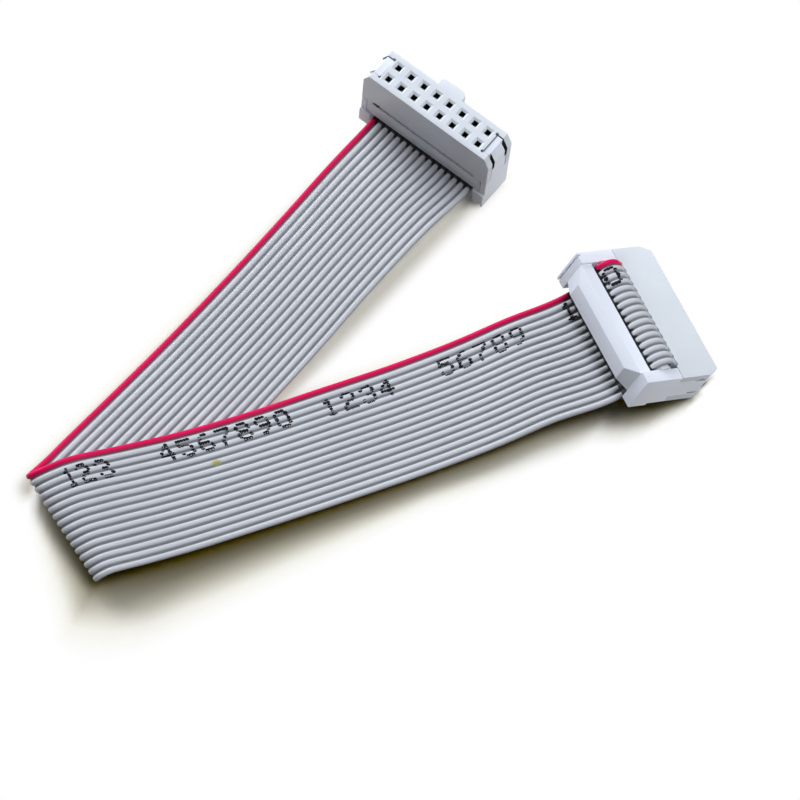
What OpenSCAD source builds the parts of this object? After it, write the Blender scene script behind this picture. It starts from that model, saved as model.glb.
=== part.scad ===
// Sixteen-way flat ribbon cable with a socket crimped on each end.
// Each socket is a body, a cover, a strain relief clip and sixteen contacts.
// A socket's own frame: X runs along its length, the ribbon leaves towards -Y,
// it loops round the +Y side, and the mating face looks along +Z.

/* [Ribbon] */
// Thickness of the ribbon over its cores
ribbon_t = 0.9; // [0.8:0.02:0.92]
// Thickness of the web between two cores
web_t = 0.4; // [0.3:0.05:0.5]
// Width of the copper conductor inside each core
conductor_w = 0.32; // [0.28:0.01:0.34]
// Gap between a conductor and its insulation
conductor_gap = 0.01; // [0.008:0.001:0.015]

/* [Socket body] */
// Width of the socket across its two rows
body_w = 6; // [5.8:0.1:6.4]
// Height of the body from the ribbon slot to the mating face
body_h = 7; // [6.9:0.1:7.6]
// Length of plastic beyond the last column of pins at each end
end_margin = 3.56; // [3.5:0.02:3.7]
// Chamfer of the mating end, along the length
end_chamfer_x = 1; // [0.6:0.1:1.2]
// Chamfer of the mating end, along the height
end_chamfer_z = 2; // [1.2:0.1:2.2]
// Width of the polarising key
key_w = 4.7; // [3.6:0.1:5]
// How far the polarising key stands proud of the side
key_depth = 1.4; // [1:0.1:1.6]
// Length of the polarising key below the mating face
key_h = 5.4; // [4:0.1:6]

/* [Pin entries] */
// Side of the square hole that lets a pin in
entry_w = 0.9; // [0.75:0.05:1.1]
// Side of the funnel at the mating face
funnel_w = 1.6; // [1.4:0.05:1.9]
// Depth of the funnel
funnel_depth = 0.35; // [0.15:0.05:0.6]

/* [Cover] */
// Thickness of the cover under the ribbon's crimped layer
cover_t = 3.1; // [3:0.05:3.3]
// Height of the slot for the crimped layer
crimp_slot_h = 1; // [0.96:0.02:1.1]
// Thickness of the cover's snap legs
leg_t = 1; // [0.8:0.05:1]
// Height of the cover's snap legs above the crimp slot
leg_h = 5.3; // [4.5:0.1:5.4]

/* [Strain relief] */
// Height of the bar that the ribbon turns round
bar_h = 3.1; // [2.8:0.1:3.3]
// Height of the slot between the bar and the cover
relief_slot_h = 1.4; // [1.2:0.1:1.5]
// Height of the wide bevel along the bar's foot
foot_bevel_h = 0.9; // [0.5:0.1:1.2]
// How far the ears at the bar's ends stand back from its foot
ear_lift = 0.9; // [0.5:0.1:1.2]
// How far the ears stand proud of the body on the ribbon's side
ear_proud = 0.4; // [0.1:0.1:0.6]
// Thickness of the clip's cheeks, which cover the ends of the cover on the loop's side
cheek_t = 0.8; // [0.5:0.05:0.9]
// Thickness of the clip's arms
arm_t = 1; // [0.8:0.05:1]
// Width of the clip's arms where they lie in the body
arm_w = 3.6; // [3:0.1:3.8]

/* [Contacts] */
// Thickness of the contact strip
contact_t = 0.25; // [0.2:0.01:0.3]
// Width of one tine of the fork
tine_w = 0.3; // [0.26:0.01:0.32]
// Gap between the two tines of the fork
fork_gap = 0.42; // [0.4:0.01:0.44]

/* [Hidden] */
$fn = 48;
core_pitch = 1.27;
pin_pitch = 2 * core_pitch;
columns = 8;
cores = 2 * columns;
rows = ["a", "b"];
sockets = [1, 2];

// Running gap between snapped pieces, and the finer gap round a pierced tine
play = 0.1;
tine_play = 0.02;
// Corner that keeps a cut's faces off the faces they would share
cut_over = 0.5;
// Room between the ribbon's ridges and the grooves that clamp them
comb_gap = 0.05;

// Levels of a socket, from the strain relief's foot up
relief_z = bar_h;
cover_z = relief_z + relief_slot_h;
crimp_z = cover_z + cover_t;
body_z = crimp_z + crimp_slot_h;
mating_z = body_z + body_h;
socket_len = (columns - 1) * pin_pitch + 2 * end_margin;
half_len = socket_len / 2;
half_w = body_w / 2;
column_span = (columns - 1) * pin_pitch;
row_y = pin_pitch / 2;

// The ribbon's section
core_span = (cores - 1) * core_pitch;
half_span = core_span / 2;
core_r = ribbon_t / 2;
slot_half = half_span + core_r + 0.35;
lie_gap = 0.05;

// The clip and the cover share the ends: arm outside, leg inside
arm_x = half_len - arm_t;
leg_x = slot_half + play / 2;
leg_out = min(leg_x + leg_t, arm_x - play);
recess_x = leg_x - play;
recess_w = arm_w + 2 * play;
catch_depth = 0.25;
catch_h = 0.8;
catch_z = body_z + 2.4;
catch_w = 2;
hook_drop = 0.2;
notch_h = 2.4;
notch_w = 0.5;
corner_relief = 0.45;
corner_relief_depth = 1.2;
key_corner = 0.5;
bar_front = -1.8;
bar_crest = 0.9;
bar_back = half_w - 0.4;
bar_lip = 0.7;
bar_rim = 0.15;
bar_flat_x = 8;
ear_rim = 0.4;
ear_groove_w = 0.25;
ear_groove_depth = 0.5;
groove_x = half_len - ear_rim - ear_groove_w;

// The loop of the ribbon round the cover's nose; body and cover part at the crimped layer
nose_r = cover_t / 2;
crimp_level = crimp_z + crimp_slot_h / 2;
part_z = crimp_level;
relief_level = relief_z + core_r + lie_gap;
loop_r = (crimp_level - relief_level) / 2;
loop_z = (crimp_level + relief_level) / 2;
nose_setback = 0.15;
comb_setback = 0.3;
loop_y = half_w - nose_r + nose_setback;
loop_steps = 7;

// Contacts: the cavity, the fork and the two spring beams
cavity_w = 2.1;
cavity_depth = 1.8;
cavity_shift = 0.13;
cavity_roof = 1.3;
fork_shift = core_pitch / 2;
fork_base_h = 1.15;
fork_base_gap = 0.1;
fork_reach = 2.3;
fork_far = 0.75;
beam_w = 0.9;
beam_t = 0.2;
beam_root_y = 0.5;
beam_throat_y = 0.25;
beam_tip_y = 0.45;
beam_throat_drop = 3.2;
beam_tip_drop = 2.3;
bridge_h = 0.3;
pocket_depth = 1.6;
pocket_play = 0.12;

// Where each socket lies, and which side of it carries the red core and the key
socket_pos = [[-15.93, 20.58, 0.931], [9.27, -18.98, 11.38]];
socket_turn = [[3, 6, -38], [118.5, -2.5, 115]];
red_side = [-1, 1];
key_side = [1, -1];

// The free ribbon: two straight runs that meet at a rolled fold.
// Each entry is the distance from the fold, the heights of the red and the
// grey edge core, and how much of the fold's slant the ring takes.
fold_at = [-74.03, -50.2];
lower_heading = 50.4;
upper_heading = 21.2;
lower_run = [
    [78, 4.4, 4.2, 0],
    [65, 2.8, 3.7, 0],
    [51, 1.6, 1.8, 0.1],
    [37, 1.1, 0.7, 0.4],
    [23, 1.4, 0.5, 0.8],
    [11, 1.9, 0.5, 1]
];
upper_run = [
    [9, 6.3, 3.1, 1],
    [16, 4.7, 2.3, 0.9],
    [25, 2.8, 1.8, 0.75],
    [36, 1.7, 1.5, 0.5],
    [48, 1.6, 1.4, 0.2],
    [60, 1.6, 1.6, 0],
    [70, 2.5, 2.5, 0],
    [78, 4, 4, 0]
];
// The rolled fold is a cone: radius, height swing and middle height per edge
fold_red = [4.6, 2.1, 4.1];
fold_grey = [2.8, 1.7, 2.2];
fold_angles = [-75, -45, -15, 15, 45, 75];
// Where the ribbon leaves each socket, as [y, z] in the socket's frame
exit_1 = [[-1.6, relief_level], [-3.4, relief_level]];
exit_2 = [[-1.6, relief_level], [-2.7, relief_level - 0.3], [-3.8, relief_level - 1.1],
    [-4.9, relief_level - 2.3]];

// ---- Placing ----

function turned(p, a) =
    let (
        x1 = p.x,
        y1 = p.y * cos(a.x) - p.z * sin(a.x),
        z1 = p.y * sin(a.x) + p.z * cos(a.x),
        x2 = x1 * cos(a.y) + z1 * sin(a.y),
        z2 = z1 * cos(a.y) - x1 * sin(a.y)
    )
    [x2 * cos(a.z) - y1 * sin(a.z), x2 * sin(a.z) + y1 * cos(a.z), z2];

function in_socket(s, p) = turned(p, socket_turn[s - 1]) + socket_pos[s - 1];

module place_socket(s) {
    translate(socket_pos[s - 1]) rotate(socket_turn[s - 1]) children();
}

function column_x(c) = (c - 1) * pin_pitch - column_span / 2;
function core_x(k) = (k - 1) * core_pitch - half_span;
function row_sign(r) = r == "a" ? -1 : 1;

// A prism with its outline in the YZ plane, centred along X
module across_x(length, outline) {
    rotate([90, 0, 90]) translate([0, 0, -length / 2]) linear_extrude(length) polygon(outline);
}

// A prism with its outline in the XZ plane, centred along Y
module across_y(length, outline) {
    rotate([90, 0, 0]) translate([0, 0, -length / 2]) linear_extrude(length) polygon(outline);
}

// A box given by two opposite corners
module block(low, high) {
    translate(low) cube(high - low);
}

module both_ends() {
    children();
    mirror([1, 0, 0]) children();
}

// ---- Socket body ----

// Square funnel and hole that lead a pin in; two wedges crossed give its four faces
module pin_entry() {
    throat_z = mating_z - funnel_depth;
    flare = [[-entry_w / 2, throat_z], [entry_w / 2, throat_z], [funnel_w / 2, mating_z],
        [funnel_w / 2, mating_z + cut_over], [-funnel_w / 2, mating_z + cut_over],
        [-funnel_w / 2, mating_z]];
    intersection() {
        across_x(funnel_w + 1, flare);
        across_y(funnel_w + 1, flare);
    }
    block([-entry_w / 2, -entry_w / 2, mating_z - cavity_roof - cut_over],
        [entry_w / 2, entry_w / 2, throat_z + 0.01]);
}

// Room for one contact under its entry
module contact_cavity(row) {
    shift = row_sign(row) * cavity_shift;
    block([shift - cavity_w / 2, -cavity_depth / 2, part_z - cut_over],
        [shift + cavity_w / 2, cavity_depth / 2, mating_z - cavity_roof]);
}

// Recess at one end for the cover's leg and the clip's arm
module end_recess() {
    block([recess_x, -recess_w / 2, part_z - cut_over],
        [half_len + cut_over, recess_w / 2, mating_z + cut_over]);
    for (t = [-1, 1]) translate([recess_x, t * recess_w / 2, mating_z])
        cube([corner_relief, corner_relief, 2 * corner_relief_depth], center = true);
    block([recess_x - catch_depth, -catch_w / 2 - play, catch_z - play],
        [recess_x + cut_over, catch_w / 2 + play, catch_z + catch_h + play]);
}

module key(side) {
    far = half_w + key_depth;
    half = key_w / 2;
    plan = [[-half, side * (half_w - cut_over)], [half, side * (half_w - cut_over)],
        [half, side * (far - key_corner)], [half - key_corner, side * far],
        [key_corner - half, side * far], [-half, side * (far - key_corner)]];
    translate([0, 0, mating_z - key_h]) linear_extrude(key_h) polygon(plan);
}

// The way through the socket for the crimped layer, grooved to the ribbon's own ridges
module ribbon_way() {
    crest = core_r + comb_gap;
    valley = web_t / 2 + comb_gap;
    ridges = [for (k = [1:cores]) each k == cores ? [[core_x(k), crest]]
        : [[core_x(k), crest], [core_x(k) + core_pitch / 2, valley]]];
    shoulder = [half_span + 0.75 * core_r, crest - 2 * comb_gap];
    side = [half_span + core_r + comb_gap, core_r / 2];
    top = concat([[-side.x, side.y], [-shoulder.x, shoulder.y]], ridges, [shoulder, side]);
    low = [for (i = [len(top) - 1:-1:0]) [top[i].x, -top[i].y]];
    translate([0, 0, part_z]) across_y(body_w + 1, concat(top, low));
}

module socket_body(s) {
    shoulder_z = mating_z - end_chamfer_z;
    outline = [[-half_len, part_z], [half_len, part_z], [half_len, shoulder_z],
        [half_len - end_chamfer_x, mating_z], [-half_len + end_chamfer_x, mating_z],
        [-half_len, shoulder_z]];
    color("lightsteelblue") place_socket(s) difference() {
        union() {
            across_y(body_w, outline);
            key(key_side[s - 1]);
        }
        for (r = rows) for (c = [1:columns]) translate([column_x(c), row_sign(r) * row_y, 0]) {
            pin_entry();
            contact_cavity(r);
        }
        both_ends() end_recess();
        ribbon_way();
    }
}

// ---- Cover ----

// Pocket in the cover for the tips of one fork
module fork_pocket(row) {
    reach = fork_gap / 2 + tine_w + pocket_play;
    translate([row_sign(row) * fork_shift, 0, 0])
        block([-reach, -contact_t / 2 - pocket_play, crimp_z - pocket_depth],
            [reach, contact_t / 2 + pocket_play, part_z + cut_over]);
}

module socket_cover(s) {
    nose_y = loop_y - nose_setback;
    color("lightsteelblue") place_socket(s) {
        difference() {
            union() {
                block([-leg_x, -half_w, cover_z], [leg_x, nose_y, crimp_z]);
                block([-leg_x, -half_w, crimp_z - cut_over], [leg_x, loop_y - comb_setback, part_z]);
                translate([-leg_x, nose_y, cover_z + nose_r]) rotate([0, 90, 0])
                    cylinder(r = nose_r, h = 2 * leg_x);
                both_ends() {
                    block([leg_x, -half_w, cover_z], [leg_out, half_w - cheek_t - play, part_z]);
                    block([leg_x, -arm_w / 2, crimp_z], [leg_out, arm_w / 2, body_z + leg_h]);
                    block([leg_x - catch_depth, -catch_w / 2, catch_z],
                        [leg_x + catch_depth, catch_w / 2, catch_z + catch_h]);
                }
            }
            ribbon_way();
            for (r = rows) for (c = [1:columns])
                translate([column_x(c), row_sign(r) * row_y, 0]) fork_pocket(r);
        }
    }
}

// ---- Strain relief clip ----

module strain_relief(s) {
    bar = [[bar_front, 0], [bar_crest, 0], [bar_back, foot_bevel_h], [bar_back, relief_z - bar_rim],
        [bar_back - bar_rim, relief_z], [bar_front + bar_lip, relief_z], [bar_front, relief_z - bar_lip]];
    joint_x = leg_x + cut_over / 2;
    foot = [[-bar_flat_x, 0], [bar_flat_x, 0], [leg_x, ear_lift], [joint_x, ear_lift], [joint_x, relief_z],
        [-joint_x, relief_z], [-joint_x, ear_lift], [-leg_x, ear_lift]];
    ear_top = cover_z - play;
    hook_top = mating_z - hook_drop;
    hook_low = body_z + leg_h + play;
    hook_x = leg_x + play;
    hook_slope = end_chamfer_z - hook_drop;
    notch_low = hook_low - notch_h;
    tip = [[hook_x, hook_low], [arm_x, hook_low], [arm_x, notch_low - cut_over],
        [half_len, notch_low - cut_over], [half_len, hook_top - hook_slope], [arm_x, hook_top],
        [hook_x, hook_top]];
    color("lightsteelblue") place_socket(s) {
        intersection() {
            across_x(2 * joint_x, bar);
            across_y(2 * body_w, foot);
        }
        difference() {
            both_ends() block([leg_x, -half_w - ear_proud, ear_lift], [half_len, half_w, ear_top]);
            block([groove_x, -body_w, 0], [groove_x + ear_groove_w, body_w, ear_lift + ear_groove_depth]);
        }
        both_ends() {
            block([leg_x + play, half_w - cheek_t, ear_top - cut_over], [half_len, half_w, part_z - play]);
            block([arm_x, -half_w, ear_top - cut_over], [half_len, half_w, part_z - play]);
            block([arm_x, -arm_w / 2, part_z - play - cut_over], [half_len, arm_w / 2, notch_low]);
            block([hook_x, -arm_w / 2, hook_low], [arm_x, arm_w / 2, hook_top]);
            across_y(arm_w - 2 * notch_w, tip);
        }
    }
}

// ---- Contacts ----

// One stamped contact: a fork that pierces the ribbon and two beams that grip the pin
module contact(s, row, c) {
    side = row_sign(row);
    base_low = body_z + fork_base_gap;
    base_top = base_low + fork_base_h;
    tip = body_z - fork_reach;
    inner = fork_gap / 2;
    outer = inner + tine_w;
    shift = side * fork_shift;
    throat = mating_z - beam_throat_drop;
    beam_tip = mating_z - beam_tip_drop;
    beam = [[beam_root_y, base_top - bridge_h], [beam_root_y + beam_t, base_top - bridge_h],
        [beam_throat_y + beam_t, throat], [beam_tip_y + beam_t, beam_tip], [beam_tip_y, beam_tip],
        [beam_throat_y, throat]];
    color("goldenrod") place_socket(s) translate([column_x(c), side * row_y, 0]) {
        for (t = [-1, 1])
            across_y(contact_t, [[shift + t * inner, base_low + cut_over], [shift + t * inner, tip + tine_w],
                [shift + t * outer, tip], [shift + t * outer, base_low + cut_over]]);
        across_y(contact_t, [[-side * fork_far, base_low], [shift + side * outer, base_low],
            [shift + side * outer, base_top], [-side * fork_far, base_top]]);
        block([-beam_w / 2, -beam_root_y - beam_t, base_top - bridge_h],
            [beam_w / 2, beam_root_y + beam_t, base_top]);
        across_x(beam_w, beam);
        mirror([0, 1, 0]) across_x(beam_w, beam);
    }
}

// ---- Ribbon ----

// A ring across the ribbon is the middle of its red edge core and of its last grey core
function socket_ring(s, p) =
    [in_socket(s, [red_side[s - 1] * half_span, p.x, p.y]),
        in_socket(s, [-red_side[s - 1] * half_span, p.x, p.y])];

// The path inside a socket: cut end, crimp slot, loop, relief slot
socket_path = concat(
    [[-half_w, crimp_level]],
    [for (i = [0:loop_steps]) let (a = 90 - 180 * i / loop_steps)
        [loop_y + loop_r * cos(a), loop_z + loop_r * sin(a)]]
);

function flat(heading) = [cos(heading), sin(heading)];
function left(heading) = [-sin(heading), cos(heading)];
function lifted(p, z) = [p.x, p.y, z];
fold_slant = (lower_heading - upper_heading) / 2;
fold_heading = (lower_heading + upper_heading) / 2;

function run_ring(row, heading, way) =
    let (lead = way * row[3] * half_span * tan(fold_slant))
    [lifted(fold_at + (row[0] + lead) * flat(heading) + half_span * left(heading), row[1]),
        lifted(fold_at + (row[0] - lead) * flat(heading) - half_span * left(heading), row[2])];

// A point of the rolled fold: side is 1 for the red edge and -1 for the grey one
function fold_point(side, roll, angle) =
    let (
        b = flat(fold_heading),
        w = -left(fold_heading),
        depth = PI / 2 * roll[0],
        low = side * half_span * left(lower_heading),
        high = side * half_span * left(upper_heading),
        low_w = (low + (depth - low * b) / (flat(lower_heading) * b) * flat(lower_heading)) * w,
        high_w = (high + (depth - high * b) / (flat(upper_heading) * b) * flat(upper_heading)) * w,
        share = (angle + 90) / 180,
        along = low_w + (high_w - low_w) * share
    )
    lifted(fold_at + (depth - roll[0] * cos(angle)) * b + along * w, roll[2] + roll[1] * sin(angle));

rings = concat(
    [for (p = concat(socket_path, exit_1)) socket_ring(1, p)],
    [for (row = lower_run) run_ring(row, lower_heading, 1)],
    [for (a = fold_angles) [fold_point(1, fold_red, a), fold_point(-1, fold_grey, a)]],
    [for (row = upper_run) run_ring(row, upper_heading, -1)],
    [for (i = [len(exit_2) - 1:-1:0]) socket_ring(2, exit_2[i])],
    [for (i = [len(socket_path) - 1:-1:0]) socket_ring(2, socket_path[i])]
);
last_ring = len(rings) - 1;

function unit(v) = v / norm(v);
function ring_middle(i) = (rings[i][0] + rings[i][1]) / 2;
function step_normal(i) = unit(cross(rings[i][1] - rings[i][0], ring_middle(i + 1) - ring_middle(i)));
// Normal of the ribbon at each ring, lengthened so that both neighbouring steps keep their thickness
ring_normals = [for (i = [0:last_ring])
    let (before = step_normal(max(i - 1, 0)), after = step_normal(min(i, last_ring - 1)))
    (before + after) / (1 + before * after)];

// A point of ring i: u along the ring from the red core, h out of the ribbon
function ring_point(i, u, h) =
    rings[i][0] + (rings[i][1] - rings[i][0]) * u / core_span + ring_normals[i] * h;

// Faces of the quad between edge [a, b] of one ring and the same edge of the next, split along
// the diagonal from a or along the one from b
function split_a(e, count) = [[e.x, e.y, e.y + count], [e.x, e.y + count, e.x + count]];
function split_b(e, count) = [[e.x, e.y, e.x + count], [e.y, e.y + count, e.x + count]];

// Sweeps a section of [u, h] points along all the rings, round square channels at the middles in
// holes. caps lists the polygons that close an end, by the points' places in a ring.
module sweep(section, holes, caps, bonded = false) {
    n = len(section);
    h = conductor_w / 2 + conductor_gap;
    corners = [for (u = holes) each [[u - h, -h], [u + h, -h], [u + h, h], [u - h, h]]];
    count = n + len(corners);
    points = [for (i = [0:last_ring]) for (q = concat(section, corners)) ring_point(i, q.x, q.y)];
    outer = [for (j = [0:n - 1]) [j, (j + 1) % n]];
    inner = [for (c = [0:len(holes) - 1]) for (j = [0:3]) [n + 4 * c + (j + 1) % 4, n + 4 * c + j]];
    sides = [for (i = [0:last_ring - 1]) let (start = [i, i] * count) each concat(
        [for (e = outer) each bonded ? split_b(e + start, count) : split_a(e + start, count)],
        [for (e = inner) each split_b(e + start, count)])];
    first = [for (c = caps) [for (j = [len(c) - 1:-1:0]) c[j]]];
    last = [for (c = caps) [for (j = c) j + last_ring * count]];
    polyhedron(points = points, faces = concat(sides, first, last));
}

// Slits that the forks of both sockets cut beside core k, a little wider where the tines come in
module fork_slits(k) {
    row = k % 2 == 1 ? -1 : 1;
    slit_x = core_x(k);
    middle = (fork_gap + tine_w) / 2;
    slit_w = tine_w + 2 * tine_play;
    slit_l = contact_t + 2 * tine_play;
    mouth_l = slit_l + 2 * tine_play;
    for (s = sockets) place_socket(s) for (t = [-1, 1])
        translate([slit_x + t * middle, row * row_y, 0]) hull() {
            block([-slit_w / 2, -slit_l / 2, crimp_z - cut_over], [slit_w / 2, slit_l / 2, crimp_z]);
            block([-slit_w / 2, -mouth_l / 2, body_z], [slit_w / 2, mouth_l / 2, body_z + cut_over]);
        }
}

// The grey insulation: ridges over cores 2 to 16 joined by thin webs
module ribbon_grey_cores() {
    web = web_t / 2;
    last = cores - 2;
    middles = [for (k = [0:last]) (k + 1) * core_pitch];
    low = [for (u = middles) each [[u - core_pitch / 2, -web], [u, -core_r]]];
    top = [for (k = [last:-1:0]) each [[middles[k], core_r], [middles[k] - core_pitch / 2, web]]];
    tip = len(low);
    channels = 2 * tip + 1;
    caps = [for (k = [0:last]) let (
            low_left = 2 * k,
            low_right = min(low_left + 2, tip),
            crest = 2 * tip - 1 - 2 * k,
            top_right = k == last ? tip : crest - 1,
            c = channels + 4 * k
        ) each [
            [low_left, low_left + 1, low_right, c + 1, c],
            k == last ? [tip, c + 2, c + 1] : [low_right, top_right, c + 2, c + 1],
            [top_right, crest, crest + 1, c + 3, c + 2],
            [crest + 1, low_left, c, c + 3]
        ]];
    color("silver") difference() {
        sweep(concat(low, [[core_span + core_r, 0]], top), middles, caps);
        for (k = [1:cores]) fork_slits(k);
    }
}

// The red insulation of core 1, bonded to the grey along its web
module ribbon_red_core() {
    web = web_t / 2;
    round_part = [for (a = [90:45:270]) core_r * [cos(a), sin(a)]];
    section = concat([[core_pitch / 2, web]], round_part, [[core_pitch / 2, -web]]);
    caps = [[6, 0, 9, 8], [0, 1, 2, 10, 9], [2, 3, 4, 7, 10], [4, 5, 6, 8, 7]];
    color("crimson") difference() {
        sweep(section, [0], caps, true);
        for (k = [1:cores]) fork_slits(k);
    }
}

// The copper of core k, a square bar
module conductor(k) {
    u = (k - 1) * core_pitch;
    h = conductor_w / 2;
    color("peru") sweep([[u - h, -h], [u + h, -h], [u + h, h], [u - h, h]], [], [[0, 1, 2, 3]]);
}

// ---- Nodes ----

for (s = sockets) {
    socket_body(s);
    socket_cover(s);
    strain_relief(s);
}
for (s = sockets) for (r = rows) for (c = [1:columns])
    contact(s, r, c);
ribbon_red_core();
ribbon_grey_cores();
for (k = [1:cores])
    conductor(k);
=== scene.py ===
"""Visual model of a sixteen-way flat ribbon cable with a socket crimped on each end.

The classes hold their sizes in millimetres, as a maker's drawing gives them. Meshes are in metres.
"""

import logging
import math
from dataclasses import dataclass
from enum import Enum

import bmesh
import bpy
import numpy as np
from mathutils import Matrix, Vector


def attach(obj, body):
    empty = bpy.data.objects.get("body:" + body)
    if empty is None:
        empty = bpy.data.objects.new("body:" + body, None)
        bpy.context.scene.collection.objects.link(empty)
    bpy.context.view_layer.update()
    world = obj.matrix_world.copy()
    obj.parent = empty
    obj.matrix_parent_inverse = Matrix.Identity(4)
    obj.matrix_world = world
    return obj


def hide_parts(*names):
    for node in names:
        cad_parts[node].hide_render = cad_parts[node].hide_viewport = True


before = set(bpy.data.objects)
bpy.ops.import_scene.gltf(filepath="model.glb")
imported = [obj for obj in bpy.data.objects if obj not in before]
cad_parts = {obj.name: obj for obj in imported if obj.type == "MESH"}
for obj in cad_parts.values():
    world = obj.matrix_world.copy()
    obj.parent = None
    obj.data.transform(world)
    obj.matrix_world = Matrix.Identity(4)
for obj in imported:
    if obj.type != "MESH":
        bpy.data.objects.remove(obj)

MM = 0.001
BODY = "root"
SHARP = math.radians(50)
TINY = 1e-6
Array = np.ndarray
Colour = tuple[float, float, float]
Piece = bpy.types.Object
Material = bpy.types.Material
Wire = bpy.types.NodeSocket
log = logging.getLogger("ribbon_cable")


# ---- Curves and meshes ----


def unit(vectors: Array) -> Array:
    """Scales each vector to length one.

    Args:
        vectors: Rows of vectors, along the last axis.

    Returns:
        The same directions with length one.
    """
    return vectors / np.linalg.norm(vectors, axis=-1, keepdims=True)


def along(points: Array) -> Array:
    """Distance from the first point to each point, summed over the straight steps.

    Args:
        points: Rows of points.

    Returns:
        One distance for each point, starting at zero.
    """
    steps = np.linalg.norm(np.diff(points, axis=0), axis=1)
    return np.concatenate([[0.0], np.cumsum(steps)])


def smooth_step(values: Array, low: float, high: float) -> Array:
    """Rises from 0 at low to 1 at high along three squares less two cubes.

    Args:
        values: The numbers to place between the two.
        low: Where the rise starts.
        high: Where it ends.

    Returns:
        One share for each value.
    """
    share = np.clip((values - low) / (high - low), 0, 1)
    return share * share * (3 - 2 * share)


def hermite(knots: Array, values: Array, at: Array) -> Array:
    """Smooth curve through given points: one cubic for each span.

    The slope at a knot is the mean of the slopes on its two sides, each weighted by the length of
    the other side's span, so a short span keeps its own direction.

    Args:
        knots: Places of the given points along the curve, rising.
        values: The points, one row for each knot.
        at: Places to work out.

    Returns:
        One row for each place in at.
    """
    span = np.diff(knots)[:, None]
    rise = np.diff(values, axis=0) / span
    inner = (rise[:-1] * span[1:] + rise[1:] * span[:-1]) / (span[:-1] + span[1:])
    slope = np.vstack([rise[:1], inner, rise[-1:]])
    i = np.clip(np.searchsorted(knots, at, side="right") - 1, 0, len(span) - 1)
    wide = span[i]
    s = (at - knots[i])[:, None] / wide
    return (
        (1 + 2 * s) * (1 - s) ** 2 * values[i]
        + s * (1 - s) ** 2 * wide * slope[i]
        + s * s * (3 - 2 * s) * values[i + 1]
        + s * s * (s - 1) * wide * slope[i + 1]
    )


def grid_faces(rows: int, columns: int, closed: bool) -> Array:
    """Quads of a grid of points stored row by row.

    Args:
        rows: Number of rows.
        columns: Points in a row.
        closed: Whether a row's last point joins its first.

    Returns:
        Four point numbers for each quad.
    """
    step = np.arange(columns if closed else columns - 1)
    start = np.arange(rows - 1)[:, None] * columns
    right = (step + 1) % columns
    corners = [start + step, start + right, start + columns + right, start + columns + step]
    return np.stack(corners, axis=-1).reshape(-1, 4)


def lid_faces(columns: int, first: int, flip: bool) -> Array:
    """Quads that close a ring whose point j lies opposite its point columns - 1 - j.

    Args:
        columns: Points in the ring.
        first: Number of the ring's first point.
        flip: Whether the lid faces back along the sweep.

    Returns:
        Four point numbers for each quad.
    """
    j = np.arange(columns // 2 - 1)
    quads = np.stack([j, j + 1, columns - 2 - j, columns - 1 - j], axis=-1) + first
    return quads[:, ::-1] if flip else quads


def tube_faces(rows: int, columns: int, first: int = 0) -> Array:
    """Quads of a closed tube of rings stored row by row, with a lid at each end.

    Args:
        rows: Number of rings.
        columns: Points in a ring.
        first: Number of the tube's first point.

    Returns:
        Four point numbers for each quad.
    """
    last = first + (rows - 1) * columns
    wall = grid_faces(rows, columns, closed=True) + first
    return np.concatenate([wall, lid_faces(columns, first, flip=True), lid_faces(columns, last, flip=False)])


def mesh_piece(name: str, points: Array, quads: Array, lie: Array | None = None) -> Piece:
    """Makes a mesh object of quads, smooth except at its sharp edges.

    Args:
        name: Name of the piece.
        points: Places in metres.
        quads: Four point numbers for each face.
        lie: Two numbers for each point, kept as the UV map "lie".

    Returns:
        The object, at the origin.
    """
    mesh = bpy.data.meshes.new(name)
    mesh.vertices.add(len(points))
    mesh.vertices.foreach_set("co", points.astype(np.float32).ravel())
    mesh.loops.add(quads.size)
    mesh.loops.foreach_set("vertex_index", quads.astype(np.int32).ravel())
    mesh.polygons.add(len(quads))
    mesh.polygons.foreach_set("loop_start", np.arange(0, quads.size, 4, dtype=np.int32))
    mesh.update(calc_edges=True)
    if lie is not None:
        layer = mesh.uv_layers.new(name="lie")
        layer.uv.foreach_set("vector", lie[quads.ravel()].astype(np.float32).ravel())
    mesh.validate()
    mesh.set_sharp_from_angle(angle=SHARP)
    piece = bpy.data.objects.new(name, mesh)
    bpy.context.scene.collection.objects.link(piece)
    return piece


def dress(piece: Piece, material: Material) -> None:
    """Gives a piece one material all over."""
    piece.data.materials.clear()
    piece.data.materials.append(material)


def settle(piece: Piece, material: Material, node: str | None = None) -> None:
    """Dresses a piece, puts it on the body and reports it.

    Args:
        piece: The new piece.
        material: Its material.
        node: The CAD node that it stands for, if any.
    """
    if node:
        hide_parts(node)
    dress(piece, material)
    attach(piece, BODY)
    log.info("%s: %d faces", piece.name, len(piece.data.polygons))


# ---- Shader effects ----


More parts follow.
